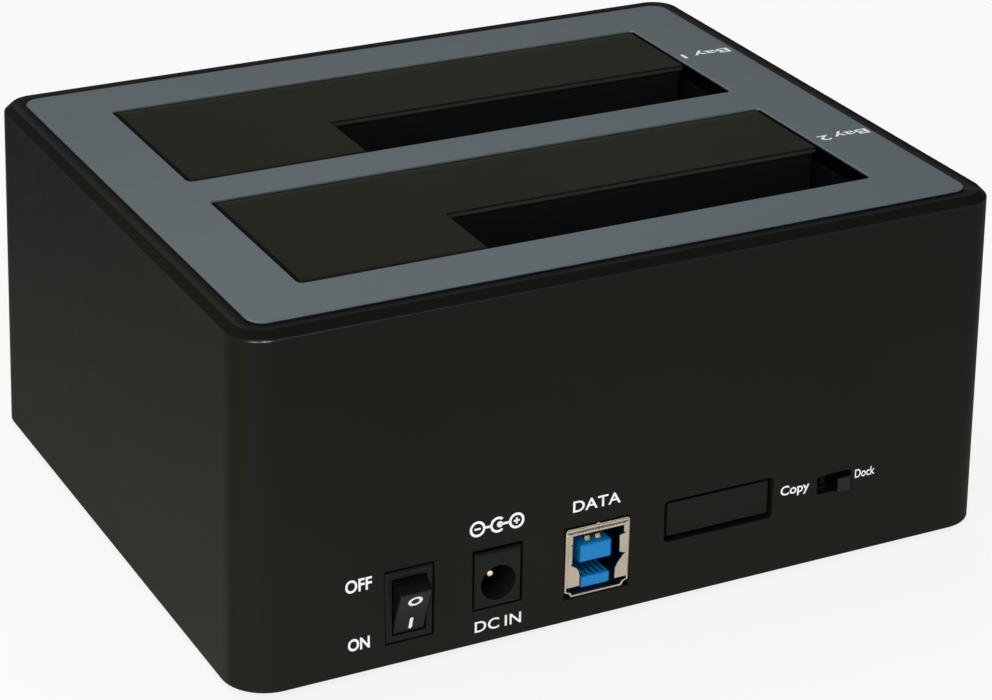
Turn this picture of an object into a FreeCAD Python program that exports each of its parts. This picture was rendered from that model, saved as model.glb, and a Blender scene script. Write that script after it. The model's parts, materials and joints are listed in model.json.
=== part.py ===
import FreeCAD, Part
import os
import math

# Two-bay drive duplicator. Millimetres.
#
# Working frame: x runs along the rear (port) panel from its left end as seen from behind,
# y runs in from the rear panel towards the front, z is up from the underside of the case.
# place() turns everything half a turn about Z into the row frame: origin at the bottom
# centre on the plane of the feet, front panel towards -Y, rear panel towards +Y, +Z up.

V = FreeCAD.Vector

# ---- case -------------------------------------------------------------------
W = 140.8            # width of the case at its base
D = 115.2            # depth of the case at its base
H = 61.4             # underside of the case to the top plate
DRAFT = 1.7          # inward lean of each wall over the full height
CORNER = 7.5         # vertical corner radius at the base
WALL = 2.0
RIM_DROP = 1.4       # the walls stop this far below the top
RIM_RUN = 1.35       # sloping rim from the wall to its crest
CREST_DROP = 0.12    # crest of the rim below the plate face
LEDGE_DROP = 0.45    # the ledge falls from the crest to this far below the plate face
WALL_EDGE_R = 0.4
CREST_R = 0.2
FOOT_H = 1.5         # feet stand this far below the case
REAR_OUT = 2.705     # how far the power rocker stands out of the rear panel
FRONT_OUT = 0.75     # how far the start button stands out of the front panel

# ---- top plate and bays -----------------------------------------------------
PLATE_IN = 5.35      # plate edge, in from the base outline
PLATE_T = 0.5        # thin overlay on the deck, proud of the ledge round it
PLATE_GAP = 0.5
PLATE_R = 3.0
DECK_T = 3.0
BAY_X0, BAY_X1 = 17.9, 122.9
BAY_LEN = 36.4
TARGET_Y = 16.4      # rear edge of the rear bay
SOURCE_Y = 62.0      # rear edge of the front bay
SLOT_X = 51.1        # the small-drive slot runs from here to BAY_X1
SLOT_LEN = 16.7
BAY_R = 1.0

# ---- flaps ------------------------------------------------------------------
FLAP_DROP = 0.4      # flap face below the plate face
FLAP_T = 1.1
SEAM = 0.18          # shadow groove in the flap edge along the slot, tall and deep
SEAM_Z = 0.25        # below the flap face
FLAP_GAP = 0.3
AXIS_IN = 2.4        # hinge axis, in from the bay's front edge
AXIS_Z = H - 2.5
BARREL_R = 2.1
PIN_R = 0.6
PIN_RUN = 0.05       # running clearance, radial
SKIRT_Z = 51.0       # lower edge of the drive guides under the flap

# ---- wells ------------------------------------------------------------------
WELL_OVER = 0.6      # the wells are this much wider than the bays
WELL_BEHIND = 6.1    # room under the web for the folded flap's guides
WELL_T = 1.2
WELL_FLOOR = 18.4
WELL_FLOOR_T = 1.4

# ---- boards and connectors --------------------------------------------------
PCB_TOP = 4.2
PCB_T = 1.6
SATA_FROM_REAR = 5.0
SATA_X = 92.4
SATA_TOP = 22.0

# ---- rear panel -------------------------------------------------------------
ROCKER_X, ROCKER_Z = 29.2, 10.2
ROCKER_AXIS_Y = 1.0
ROCKER_R = 5.0
ROCKER_STUB_R = 0.6
ROCKER_TILT = 19.4
JACK_X, JACK_Z = 45.0, 10.45
JACK_BORE_R = 3.15
PIN_Z = JACK_Z + 0.15
USB_X = 63.25
USB_HALF = 5.9
USB_Z0, USB_Z1 = PCB_TOP, 16.8
USB_BACK = 13.4      # the insulator's rear block starts here
BLANK = (75.75, 96.85, 10.2, 17.85)
BLANK_GAP = 0.85
BLANK_DEEP = 0.6
SLIDE = (105.45, 112.3, 12.4, 15.9)
KNOB = (108.9, 111.5, 12.65, 15.35)

# ---- front panel ------------------------------------------------------------
START_X, START_Z = 70.4, 30.0
START_R = 5.0
START_TRAVEL = 0.5
LED_Z = 43.0
PROGRESS_X = (61.4, 67.4, 73.4, 79.4)
ACTIVITY_X = (46.4, 94.4)
PIPE_R = 1.3
FRONT_BOARD_Y = 106.0


# ---- helpers ----------------------------------------------------------------
def box(x0, x1, y0, y1, z0, z1):
    return Part.makeBox(x1 - x0, y1 - y0, z1 - z0, V(x0, y0, z0))


def cyl(x, y, z, r, length, axis=V(0, 0, 1)):
    return Part.makeCylinder(r, length, V(x, y, z), axis)


def rod_y(x, y0, y1, z, r):
    return cyl(x, y0, z, r, y1 - y0, V(0, 1, 0))


def rod_x(x0, x1, y, z, r):
    return cyl(x0, y, z, r, x1 - x0, V(1, 0, 0))


def round_wire(x0, x1, y0, y1, z, r):
    k = r * (1 - math.sqrt(0.5))
    edges = [
        Part.makeLine(V(x0 + r, y0, z), V(x1 - r, y0, z)),
        Part.Arc(V(x1 - r, y0, z), V(x1 - k, y0 + k, z), V(x1, y0 + r, z)).toShape(),
        Part.makeLine(V(x1, y0 + r, z), V(x1, y1 - r, z)),
        Part.Arc(V(x1, y1 - r, z), V(x1 - k, y1 - k, z), V(x1 - r, y1, z)).toShape(),
        Part.makeLine(V(x1 - r, y1, z), V(x0 + r, y1, z)),
        Part.Arc(V(x0 + r, y1, z), V(x0 + k, y1 - k, z), V(x0, y1 - r, z)).toShape(),
        Part.makeLine(V(x0, y1 - r, z), V(x0, y0 + r, z)),
        Part.Arc(V(x0, y0 + r, z), V(x0 + k, y0 + k, z), V(x0 + r, y0, z)).toShape(),
    ]
    return Part.Wire(edges)


def round_prism(x0, x1, y0, y1, z0, z1, r):
    face = Part.Face(round_wire(x0, x1, y0, y1, z0, r))
    return face.extrude(V(0, 0, z1 - z0))


def round_window(x0, x1, z0, z1, y0, y1, r):
    """A block with rounded corners in x and z, running along y."""
    block = round_prism(x0, x1, -z1, -z0, y0, y1, r)
    block.rotate(V(0, 0, 0), V(1, 0, 0), -90)
    return block


def case_wire(inset, z):
    return round_wire(inset, W - inset, inset, D - inset, z, CORNER - inset)


def case_loft(inset0, z0, inset1, z1):
    return Part.makeLoft([case_wire(inset0, z0), case_wire(inset1, z1)], True, True)


def lean(z):
    return DRAFT * z / H


def profile_x(points, x0, x1):
    """Prism along x from (y, z) points."""
    verts = [V(x0, y, z) for y, z in points]
    face = Part.Face(Part.makePolygon(verts + [verts[0]]))
    return face.extrude(V(x1 - x0, 0, 0))


def profile_z(points, z0, z1):
    verts = [V(x, y, z0) for x, y in points]
    face = Part.Face(Part.makePolygon(verts + [verts[0]]))
    return face.extrude(V(0, 0, z1 - z0))


def profile_y(points, y0, y1):
    verts = [V(x, y0, z) for x, z in points]
    face = Part.Face(Part.makePolygon(verts + [verts[0]]))
    return face.extrude(V(0, y1 - y0, 0))


def fuse(parts):
    shape = parts[0]
    if len(parts) > 1:
        shape = parts[0].fuse(parts[1:])
    return shape.removeSplitter()


def cut(shape, tools):
    return shape.cut(Part.makeCompound(tools)).removeSplitter()


def fillet_edges(shape, radius, chosen):
    edges = [e for e in shape.Edges if chosen(e)]
    return shape.makeFillet(radius, edges)


def chamfer_edges(shape, size, chosen):
    edges = [e for e in shape.Edges if chosen(e)]
    return shape.makeChamfer(size, edges)


def flat_at(z):
    def chosen(edge):
        b = edge.BoundBox
        return abs(b.ZMin - z) < 1e-4 and abs(b.ZMax - z) < 1e-4
    return chosen


# ---- case pieces --------------------------------------------------------------
BOSSES = [(9.4, 9.2), (W - 9.4, 9.2), (9.4, D - 9.2), (W - 9.4, D - 9.2)]
BAYS = {"target": TARGET_Y, "source": SOURCE_Y}


def housing():
    wall_top = H - RIM_DROP
    wall_inset = lean(wall_top)
    deck_top = H - PLATE_T
    deck_under = deck_top - DECK_T
    crest = H - CREST_DROP
    crest_in = wall_inset + RIM_RUN
    ledge = PLATE_IN - PLATE_GAP
    ledge_r = PLATE_R + PLATE_GAP
    body = fuse([case_loft(0, 0, wall_inset, wall_top),
                 case_loft(wall_inset, wall_top, crest_in, crest)])
    ledge_wire = round_wire(ledge, W - ledge, ledge, D - ledge, H - LEDGE_DROP, ledge_r)
    body = cut(body, [Part.makeLoft([ledge_wire, case_wire(crest_in, crest)], True, True)])
    body = fillet_edges(body, WALL_EDGE_R, flat_at(wall_top))
    body = fillet_edges(body, CREST_R, flat_at(crest))
    cavity = case_loft(WALL + lean(-1), -1, WALL + lean(deck_under), deck_under)
    pocket = round_prism(ledge, W - ledge, ledge, D - ledge, deck_top, H + 1, ledge_r)
    tools = [cavity, pocket]
    for y0 in BAYS.values():
        tools.append(box(BAY_X0 - WELL_OVER, BAY_X1 + WELL_OVER,
                         y0 - WELL_OVER, y0 + BAY_LEN, deck_under - 1, deck_top + 1))
    body = cut(body, tools)
    posts = []
    for x, y in BOSSES:
        posts.append(cyl(x, y, 2.1, 3.0, deck_under - 2.0))
        px = 3.0 if x < W / 2 else W - 3.0
        posts.append(box(min(px, x), max(px, x), y - 0.7, y + 0.7, 14.0, deck_under + 0.1))
    body = fuse([body] + posts)
    tools = []
    for x, y in BOSSES:
        tools.append(cyl(x, y, 0, 1.1, 12.0))
    for y0 in BAYS.values():
        y = y0 + BAY_LEN - AXIS_IN
        tools.append(rod_x(BAY_X0 - 3.1, BAY_X1 + 3.1, y, AXIS_Z, PIN_R))
    tools += panel_openings()
    return cut(body, tools)


def panel_openings():
    y0, y1 = -1.0, 3.2
    tools = [
        box(24.95, 33.75, y0, y1, 3.6, 16.85),
        box(40.45, 49.6, y0, y1, 5.9, 16.85),
        box(USB_X - USB_HALF - 0.25, USB_X + USB_HALF + 0.25, y0, y1, USB_Z0 - 0.25, USB_Z1 + 0.3),
        round_window(BLANK[0], BLANK[1], BLANK[2], BLANK[3], y0, y1, 0.9),
        round_window(SLIDE[0], SLIDE[1], SLIDE[2], SLIDE[3], y0, y1, 0.6),
    ]
    front0, front1 = D - 4.5, D + 1
    tools.append(rod_y(START_X, front0, front1, START_Z, START_R + 0.25))
    for x in PROGRESS_X + ACTIVITY_X:
        tools.append(rod_y(x, front0, front1, LED_Z, PIPE_R + 0.1))
    return tools


def top_plate():
    z0 = H - PLATE_T
    plate = round_prism(PLATE_IN, W - PLATE_IN, PLATE_IN, D - PLATE_IN, z0, H, PLATE_R)
    tools = []
    for y0 in BAYS.values():
        tools.append(round_prism(BAY_X0, BAY_X1, y0, y0 + BAY_LEN, z0 - 1, H + 1, BAY_R))
    plate = cut(plate, tools)
    return chamfer_edges(plate, 0.2, flat_at(H))


def base_cover():
    inset = WALL + 0.15
    cover = case_loft(inset, 0, inset, 2.0)
    standoffs = [cyl(x, y, 1.9, 3.0, PCB_TOP - PCB_T - 1.9) for x, y in BOARD_HOLES]
    cover = fuse([cover] + standoffs)
    tools = []
    for x, y in BOSSES:
        tools.append(cyl(x, y, -1, 1.45, 4))
        tools.append(cyl(x, y, -1, 2.8, 2.2))
    for x, y in FEET:
        tools.append(cyl(x, y, -1, 5.6, 1.6))
    for x, y in BOARD_HOLES:
        tools.append(cyl(x, y, 0.8, 0.9, 3))
    for i in range(7):
        x = 46.4 + 8.0 * i
        tools.append(round_prism(x - 1.0, x + 1.0, 42, 74, -1, 3, 0.99))
    return cut(cover, tools)


BOARD_HOLES = [(20.0, 24.0), (121.0, 24.0), (20.0, 98.0), (121.0, 98.0)]
FEET = [(20.0, 17.5), (W - 20.0, 17.5), (20.0, D - 17.5), (W - 20.0, D - 17.5)]


def base_screws():
    screws = []
    for x, y in BOSSES:
        head = cyl(x, y, 0.15, 2.6, 1.0)
        head = fillet_edges(head, 0.4, flat_at(0.15))
        screws.append(head.fuse(cyl(x, y, 1.0, 1.1, 9.0)).removeSplitter())
    return Part.makeCompound(screws)


def rubber_feet():
    feet = []
    for x, y in FEET:
        foot = cyl(x, y, -FOOT_H, 5.5, FOOT_H + 0.6)
        feet.append(fillet_edges(foot, 0.6, flat_at(-FOOT_H)))
    return Part.makeCompound(feet)


# ---- bays -----------------------------------------------------------------------
def bay_well(y0):
    x0 = BAY_X0 - WELL_OVER
    x1 = BAY_X1 + WELL_OVER
    ya = y0 - WELL_OVER
    yb = y0 + BAY_LEN + WELL_BEHIND
    top = H - PLATE_T - DECK_T - 0.05
    t = WELL_T
    outer = box(x0 - t, x1 + t, ya - t, yb + t, WELL_FLOOR - WELL_FLOOR_T, top)
    flange_l = box(x0 - 5.0, x0, ya + 4, yb - 4, top - 1.4, top)
    flange_r = box(x1, x1 + 5.0, ya + 4, yb - 4, top - 1.4, top)
    ribs = []
    for y in (ya + 10, yb - 10):
        ribs.append(profile_y([(x0 - 4.0, top - 1), (x0 - 0.5, top - 1), (x0 - 0.5, top - 12)],
                              y - 0.6, y + 0.6))
        ribs.append(profile_y([(x1 + 4.0, top - 1), (x1 + 0.5, top - 1), (x1 + 0.5, top - 12)],
                              y - 0.6, y + 0.6))
    well = fuse([outer, flange_l, flange_r] + ribs)
    well = well.cut(box(x0, x1, ya, yb, WELL_FLOOR, top + 1))
    seat = sata_seat(y0)
    well = well.cut(seat)
    rails = []
    for x in (x0, x1 - 0.6):
        for y in (y0 + 6.0, y0 + 20.0):
            rails.append(box(x, x + 0.6, y, y + 1.2, WELL_FLOOR - 0.2, 48.0))
    return fuse([well] + rails)


def sata_seat(y0):
    y = y0 + SATA_FROM_REAR
    return box(SATA_X - 23.2, SATA_X + 23.2, y - 3.9, y + 3.9, 10, 30)


def flap(y0):
    """L-shaped door: a full-depth part beside the slot and a strip along its far side."""
    xa = BAY_X0 + FLAP_GAP
    xb = BAY_X1 - FLAP_GAP
    ya = y0 + FLAP_GAP
    axis_y = y0 + BAY_LEN - AXIS_IN
    y_end = axis_y + BARREL_R
    slot_y = y0 + SLOT_LEN
    top = H - FLAP_DROP
    under = top - FLAP_T
    pts = [(xa, ya), (SLOT_X, ya), (SLOT_X, slot_y), (xb, slot_y), (xb, y_end), (xa, y_end)]
    panel = profile_z(pts, under, top)

    def upright_corner(edge):
        b = edge.BoundBox
        tall = abs(b.ZLength - FLAP_T) < 1e-4 and b.XLength < 1e-4 and b.YLength < 1e-4
        outer = abs(b.YMin - y_end) < 1e-4 or abs(b.YMin - ya) < 1e-4 or abs(b.XMin - xb) < 1e-4
        return tall and outer and abs(b.XMin - SLOT_X) > 1e-4 and abs(b.YMin - slot_y) > 1e-4

    def slot_corner(edge):
        b = edge.BoundBox
        tall = abs(b.ZLength - FLAP_T) < 1e-4 and b.XLength < 1e-4 and b.YLength < 1e-4
        return tall and abs(b.XMin - SLOT_X) < 1e-4 and abs(b.YMin - slot_y) < 1e-4

    panel = fillet_edges(panel, 0.7, upright_corner)
    panel = fillet_edges(panel, 0.8, slot_corner)
    panel = fillet_edges(panel, 0.2, flat_at(top))
    pieces = [panel]
    barrel = rod_x(xa, xb, axis_y, AXIS_Z, BARREL_R)
    cheek = box(xa, xb, axis_y, y_end, AXIS_Z, under + 0.2)
    root = box(xa, xb, axis_y - BARREL_R, axis_y, AXIS_Z, under + 0.2)
    pieces += [barrel, cheek, root]
    t = 1.2
    long_y = slot_y + 0.7
    pieces.append(box(SLOT_X - 0.7 - t, xb - 0.3, long_y, long_y + t, SKIRT_Z, under + 0.1))
    pieces.append(box(SLOT_X - 0.7 - t, SLOT_X - 0.7, y0 + 1.2, long_y + t, SKIRT_Z, under + 0.1))
    pieces.append(box(xa + 0.3, SLOT_X - 0.7, y0 + 1.2, y0 + 2.4, under - 3.0, under + 0.1))
    pieces.append(box(xa + 0.3, xa + 1.5, y0 + 1.2, axis_y, under - 3.0, under + 0.1))
    for x in (29.0, 39.0):
        pieces.append(box(x - 0.5, x + 0.5, y0 + 1.2, axis_y - 1.0, under - 2.2, under + 0.1))
    for x in (62.0, 75.0, 88.0, 101.0, 114.0):
        pieces.append(gusset(x, long_y + t - 0.1, axis_y - 1.0, under))
    for x in (25.0, 43.0):
        pieces.append(box(x - 3.0, x + 3.0, y0 - 0.35, y0 + 1.4, under - 1.2, under - 0.15))
        pieces.append(box(x - 3.0, x + 3.0, y0 + 0.5, y0 + 1.4, under - 1.2, under + 0.1))
    shape = fuse(pieces)
    notch = box(SPRING_X[0] - 0.2, SPRING_X[1] + 0.2, axis_y - 2.6, axis_y + 3,
                AXIS_Z - 3, AXIS_Z + 1.35)
    bore = rod_x(xa - 1, xb + 1, axis_y, AXIS_Z, PIN_R + PIN_RUN)
    seam_z = top - SEAM_Z
    seams = [box(SLOT_X - SEAM, xb + 1, slot_y - 1, slot_y + SEAM, seam_z - SEAM, seam_z),
             box(SLOT_X - SEAM, SLOT_X + 1, ya - 1, slot_y + SEAM, seam_z - SEAM, seam_z)]
    return cut(shape, [notch, bore] + seams)


def gusset(x, y_skirt, y_far, under):
    pts = [(y_skirt, under + 0.1), (y_far, under + 0.1), (y_far, under - 1.0), (y_skirt, SKIRT_Z + 1.5)]
    return profile_x(pts, x - 0.5, x + 0.5)


SPRING_X = (34.0, 36.4)


def hinge_pin(y0):
    y = y0 + BAY_LEN - AXIS_IN
    return rod_x(BAY_X0 - 3.0, BAY_X1 + 3.0, y, AXIS_Z, PIN_R)


def flap_spring(y0):
    """Close-wound return spring round the pin, its arm lying under the flap."""
    wire = 0.2
    coil = 0.9
    turns = 6
    y = y0 + BAY_LEN - AXIS_IN
    x1 = SPRING_X[1]
    x0 = x1 - 2 * wire * turns
    outline = [Part.makeLine(V(x1, coil, 0), V(x1, coil - wire, 0)),
               Part.makeLine(V(x1, coil - wire, 0), V(x0, coil - wire, 0)),
               Part.makeLine(V(x0, coil - wire, 0), V(x0, coil, 0))]
    for i in range(turns):
        left = x0 + 2 * wire * i
        outline.append(Part.Arc(V(left, coil, 0), V(left + wire, coil + wire, 0),
                                V(left + 2 * wire, coil, 0)).toShape())
    body = Part.Face(Part.Wire(outline)).revolve(V(0, 0, 0), V(1, 0, 0), 360)
    body.translate(V(0, y, AXIS_Z))
    a = V(x1 - wire, y, AXIS_Z - coil)
    b = V(x1 - wire, y - 9.0, H - FLAP_DROP - FLAP_T - wire - 0.05)
    arm = Part.makeCylinder(wire, b.sub(a).Length, a, b.sub(a))
    return fuse([body, arm])


# ---- boards -----------------------------------------------------------------------
def main_board():
    z0 = PCB_TOP - PCB_T
    board = round_prism(13.6, 127.2, 2.9, 108.6, z0, PCB_TOP, 1.5)
    tools = [box(20.0, 36.0, 0, 15.5, z0 - 1, PCB_TOP + 1)]
    for x, y in BOARD_HOLES:
        tools.append(cyl(x, y, z0 - 1, 1.3, 4))
    return cut(board, tools)


def board_screws():
    screws = []
    for x, y in BOARD_HOLES:
        head = fillet_edges(cyl(x, y, PCB_TOP, 2.2, 1.3), 0.4, flat_at(PCB_TOP + 1.3))
        screws.append(head.fuse(cyl(x, y, 1.2, 0.9, PCB_TOP - 1.2)).removeSplitter())
    return Part.makeCompound(screws)


def sata_socket(y0):
    y = y0 + SATA_FROM_REAR
    x = SATA_X
    base = box(x - 22.4, x + 22.4, y - 3.4, y + 3.4, PCB_TOP, SATA_TOP - 7.0)
    head = box(x - 19.0, x + 19.0, y - 2.9, y + 2.9, SATA_TOP - 7.1, SATA_TOP)
    post_l = box(x - 22.0, x - 18.9, y - 1.6, y + 2.9, SATA_TOP - 7.1, SATA_TOP + 1.5)
    post_r = box(x + 18.9, x + 22.0, y - 1.6, y + 2.9, SATA_TOP - 7.1, SATA_TOP + 1.5)
    body = fuse([base, head, post_l, post_r])
    z0 = SATA_TOP - 5.0
    tools = [
        box(x - 16.9, x + 4.0, y - 1.2, y + 1.2, z0, SATA_TOP + 2),
        box(x + 6.4, x + 16.9, y - 1.2, y + 1.2, z0, SATA_TOP + 2),
        box(x - 16.9, x - 15.6, y - 1.2, y + 2.2, z0, SATA_TOP + 2),
        box(x + 6.4, x + 7.7, y - 1.2, y + 2.2, z0, SATA_TOP + 2),
        box(x - 21.2, x - 19.6, y - 3.5, y + 0.9, SATA_TOP - 4.0, SATA_TOP + 2),
        box(x + 19.6, x + 21.2, y - 3.5, y + 0.9, SATA_TOP - 4.0, SATA_TOP + 2),
    ]
    return cut(body, tools)


def sata_contacts(y0):
    y = y0 + SATA_FROM_REAR
    blades = []
    for i in range(15):
        x = SATA_X - 14.6 + 1.27 * i
        blades.append(box(x - 0.3, x + 0.3, y - 1.2, y - 0.9, SATA_TOP - 5.0, SATA_TOP - 0.6))
    for i in range(7):
        x = SATA_X + 8.5 + 1.27 * i
        blades.append(box(x - 0.3, x + 0.3, y - 1.2, y - 0.9, SATA_TOP - 5.0, SATA_TOP - 0.6))
    return Part.makeCompound(blades)


def dc_jack_body():
    collar = box(JACK_X - 4.15, JACK_X + 4.15, 0.0, 4.6, 6.15, 16.2)
    collar = collar.makeChamfer(0.35, [e for e in collar.Edges
                                       if abs(e.BoundBox.YMax) < 1e-6])
    block = box(JACK_X - 4.5, JACK_X + 4.5, 4.2, 14.4, PCB_TOP, 15.6)
    body = fuse([collar, block])
    bore = rod_y(JACK_X, -1, 10.4, JACK_Z, JACK_BORE_R)
    seat = rod_y(JACK_X, 10.0, 15.0, PIN_Z, 1.0)
    slit = box(JACK_X - 1.1, JACK_X + 1.1, 3.4, 13.0, PCB_TOP - 1, JACK_Z - 2.4)
    return cut(body, [bore, seat, slit])


def dc_jack_pin():
    pin = rod_y(JACK_X, 2.6, 14.4, PIN_Z, 1.0)
    pin = fillet_edges(pin, 0.85, lambda e: abs(e.BoundBox.YMax - 2.6) < 1e-4)
    tail = box(JACK_X - 1.0, JACK_X + 1.0, 14.4, 14.8, PCB_TOP, PIN_Z + 1.0)
    return fuse([pin, tail])


def dc_jack_contact():
    pts = [(3.8, 7.55), (5.2, 7.9), (8.6, 7.0), (11.8, 6.4), (12.5, 6.4), (12.5, PCB_TOP),
           (12.1, PCB_TOP), (12.1, 6.05), (11.6, 6.05), (8.5, 6.65), (5.2, 7.5), (3.8, 7.2)]
    return profile_x(pts, JACK_X - 0.8, JACK_X + 0.8)


# ---- data socket --------------------------------------------------------------------
def usb_outline(inset):
    """Shell section in x and z: square above, with the lower corners stepped in."""
    half = USB_HALF - inset
    top = USB_Z1 - inset
    low = USB_Z0 + inset
    k = 0.4 * inset
    right = [(half - 0.4, top), (half, top - 0.4), (half, USB_Z0 + 1.0 + k),
             (half - 0.8, USB_Z0 + 0.7 + k), (half - 1.2 + k, low)]
    left = [(-x, z) for x, z in reversed(right)]
    return [(USB_X + x, z) for x, z in right + left]


def usb_shell():
    t = 0.3
    y0, y1 = 0.3, 18.2
    tube = profile_y(usb_outline(0.0), y0, y1).cut(profile_y(usb_outline(t), y0 - 1, y1 - t))
    rail_x0, rail_x1 = USB_X - USB_HALF + 0.1, USB_X + USB_HALF - 0.1
    rail = [box(rail_x0, rail_x1, 0.48, 0.75, USB_Z1 - 1.4, USB_Z1 - 0.05)]
    for z in (USB_Z1 - 0.37, USB_Z1 - 1.11):
        rail.append(rod_x(rail_x0, rail_x1, 0.5, z, 0.32))
    for x in (USB_X - USB_HALF + 0.32, USB_X + USB_HALF - 0.32):
        rail.append(cyl(x, 0.5, 6.2, 0.3, USB_Z1 - 7.0))
    seam_tab = box(USB_X - 0.3, USB_X + 0.3, 0.3, 0.65, USB_Z1 - 0.3, USB_Z1 + 0.2)
    return fuse([tube, seam_tab] + rail + usb_tabs())


def usb_tabs():
    """Turned-in side strips of the front frame, each with a wide spring tab low down."""
    x0, x1 = USB_X - USB_HALF + 0.05, USB_X + USB_HALF - 0.05
    left = [(x0, 15.6), (x0 + 1.25, 15.6), (x0 + 1.25, 13.95), (x0 + 0.9, 13.8), (x0 + 1.2, 13.65),
            (x0 + 1.2, 10.35), (x0 + 0.95, 10.15), (x0 + 1.35, 9.9), (x0 + 2.05, 9.4), (x0 + 2.5, 8.7),
            (x0 + 2.65, 7.9), (x0 + 2.65, 6.0), (x0, 6.0)]
    right = [(x1, 15.6), (x1 - 0.95, 15.6), (x1 - 0.95, 14.2), (x1 - 0.45, 13.95), (x1 - 1.7, 13.72),
             (x1 - 1.65, 10.6), (x1 - 0.5, 10.2), (x1 - 0.95, 9.9), (x1 - 1.55, 9.1), (x1 - 1.95, 8.6),
             (x1 - 2.4, 7.7), (x1 - 2.45, 5.85), (x1, 5.85)]
    return [profile_y(left, 0.3, 0.6), profile_y(right, 0.3, 0.6)]


def usb_insulator():
    x = USB_X
    back = profile_y(usb_outline(0.4), USB_BACK, 17.8)
    upper = box(x - 2.85, x + 2.85, 0.6, USB_BACK + 0.1, 9.95, 13.05)
    upper = upper.makeChamfer(0.3, [e for e in upper.Edges if abs(e.BoundBox.YMax - 0.6) < 1e-6])
    lower = box(x - 2.5, x + 2.7, 1.0, USB_BACK + 0.1, 5.15, 6.95)
    body = fuse([back, upper, lower])
    tools = []
    for i in range(5):
        gx = x - 1.9 + 1.0 * i
        tools.append(box(gx - 0.28, gx + 0.28, 1.7, USB_BACK, 6.55, 7.1))
    return cut(body, tools)


def usb_contacts():
    blades = []
    for dx in (-0.85, 1.1):
        x0, x1 = USB_X + dx - 0.45, USB_X + dx + 0.45
        bow = [(2.1, 13.05), (USB_BACK, 13.05), (USB_BACK, 13.3), (4.6, 13.3), (3.4, 13.7),
               (2.45, 13.7)]
        blades.append(profile_x(bow, x0, x1))
        blades.append(box(x0, x1, 2.0, USB_BACK, 9.7, 9.95))
    for i in range(5):
        gx = USB_X - 1.9 + 1.0 * i
        blades.append(box(gx - 0.2, gx + 0.2, 2.2, USB_BACK, 6.55, 6.75))
    return Part.makeCompound(blades)


# ---- rear switches --------------------------------------------------------------------
def rocker_frame():
    x, z = ROCKER_X, ROCKER_Z
    bezel = box(x - 4.2, x + 4.2, 0.1, 1.7, 3.8, 16.5)
    bezel = bezel.makeChamfer(0.3, [e for e in bezel.Edges if abs(e.BoundBox.YMax - 0.1) < 1e-6])
    case = box(x - 3.75, x + 3.75, 1.6, 10.6, 4.3, 16.0)
    barbs = []
    for sign in (-1, 1):
        pts = [(x + sign * 3.7, 2.6), (x + sign * 4.4, 2.6), (x + sign * 3.7, 5.6)]
        barbs.append(profile_z(pts, 8.0, 12.0))
    body = fuse([bezel, case] + barbs)
    opening = box(x - 3.05, x + 3.05, -1, 9.4, z - 5.15, z + 5.15)
    pivots = rod_x(x - 3.5, x + 3.5, ROCKER_AXIS_Y, z, ROCKER_STUB_R + PIN_RUN)
    return cut(body, [opening, pivots])


def rocker():
    """Curved-face actuator, drawn level and then tipped to its rest position."""
    half = math.radians(27.6)
    r = ROCKER_R
    tip_y, tip_z = -r * math.sin(half), r * math.cos(half)
    back = math.radians(24.0)
    low_y, low_z = r * math.sin(back), r * math.cos(back)
    edges = [
        Part.Arc(V(0, tip_y, -tip_z), V(0, tip_y + 0.25, 0), V(0, tip_y, tip_z)).toShape(),
        Part.Arc(V(0, tip_y, tip_z), V(0, 0, r), V(0, low_y, low_z)).toShape(),
        Part.makeLine(V(0, low_y, low_z), V(0, 3.4, 1.6)),
        Part.makeLine(V(0, 3.4, 1.6), V(0, 3.4, -1.6)),
        Part.makeLine(V(0, 3.4, -1.6), V(0, low_y, -low_z)),
        Part.Arc(V(0, low_y, -low_z), V(0, 0, -r), V(0, tip_y, -tip_z)).toShape(),
    ]
    face = Part.Face(Part.Wire(edges))
    body = face.extrude(V(5.5, 0, 0))
    body.translate(V(-2.75, 0, 0))
    body = fillet_edges(body, 0.3, rocker_face_edge)
    body = body.fuse(rod_x(-3.4, 3.4, 0, 0, ROCKER_STUB_R)).removeSplitter()
    body.rotate(V(0, 0, 0), V(1, 0, 0), ROCKER_TILT)
    body.translate(V(ROCKER_X, ROCKER_AXIS_Y, ROCKER_Z))
    return body


def rocker_face_edge(edge):
    b = edge.BoundBox
    return b.YMax < -1.8


def rocker_terminals():
    blades = []
    for dz in (-3.2, 3.2):
        z = ROCKER_Z + dz
        blades.append(box(ROCKER_X - 1.4, ROCKER_X + 1.4, 10.6, 14.6, z - 0.25, z + 0.25))
    return Part.makeCompound(blades)


def slide_switch_can():
    can = box(104.3, 113.45, 2.75, 6.4, 11.7, 16.4)
    inner = box(104.6, 113.15, 3.05, 7.0, 12.0, 16.1)
    mouth = box(105.9, 112.0, 2, 4, 12.3, 15.8)
    return cut(can, [inner, mouth])


def slide_switch_base():
    return box(104.65, 113.1, 4.9, 6.4, 12.05, 16.05)


def slide_knob():
    x0, x1, z0, z1 = KNOB
    stem = box(x0, x1, -0.8, 4.0, z0, z1)
    stem = stem.makeChamfer(0.2, [e for e in stem.Edges if abs(e.BoundBox.YMax + 0.8) < 1e-6])
    tray = box(x0 - 0.9, x1 + 0.3, 3.3, 4.6, z0 - 0.2, z1 + 0.25)
    return fuse([stem, tray])


def riser_board():
    return box(100.5, 117.5, 6.5, 7.7, PCB_TOP, 16.8)


def riser_header():
    block = box(103.5, 114.5, 7.9, 10.2, PCB_TOP, PCB_TOP + 2.5)
    pins = []
    for i in range(5):
        x = 104.6 + 2.2 * i
        pins.append(box(x - 0.3, x + 0.3, 7.7, 8.0, PCB_TOP + 0.9, PCB_TOP + 1.5))
    return fuse([block] + pins)


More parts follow.
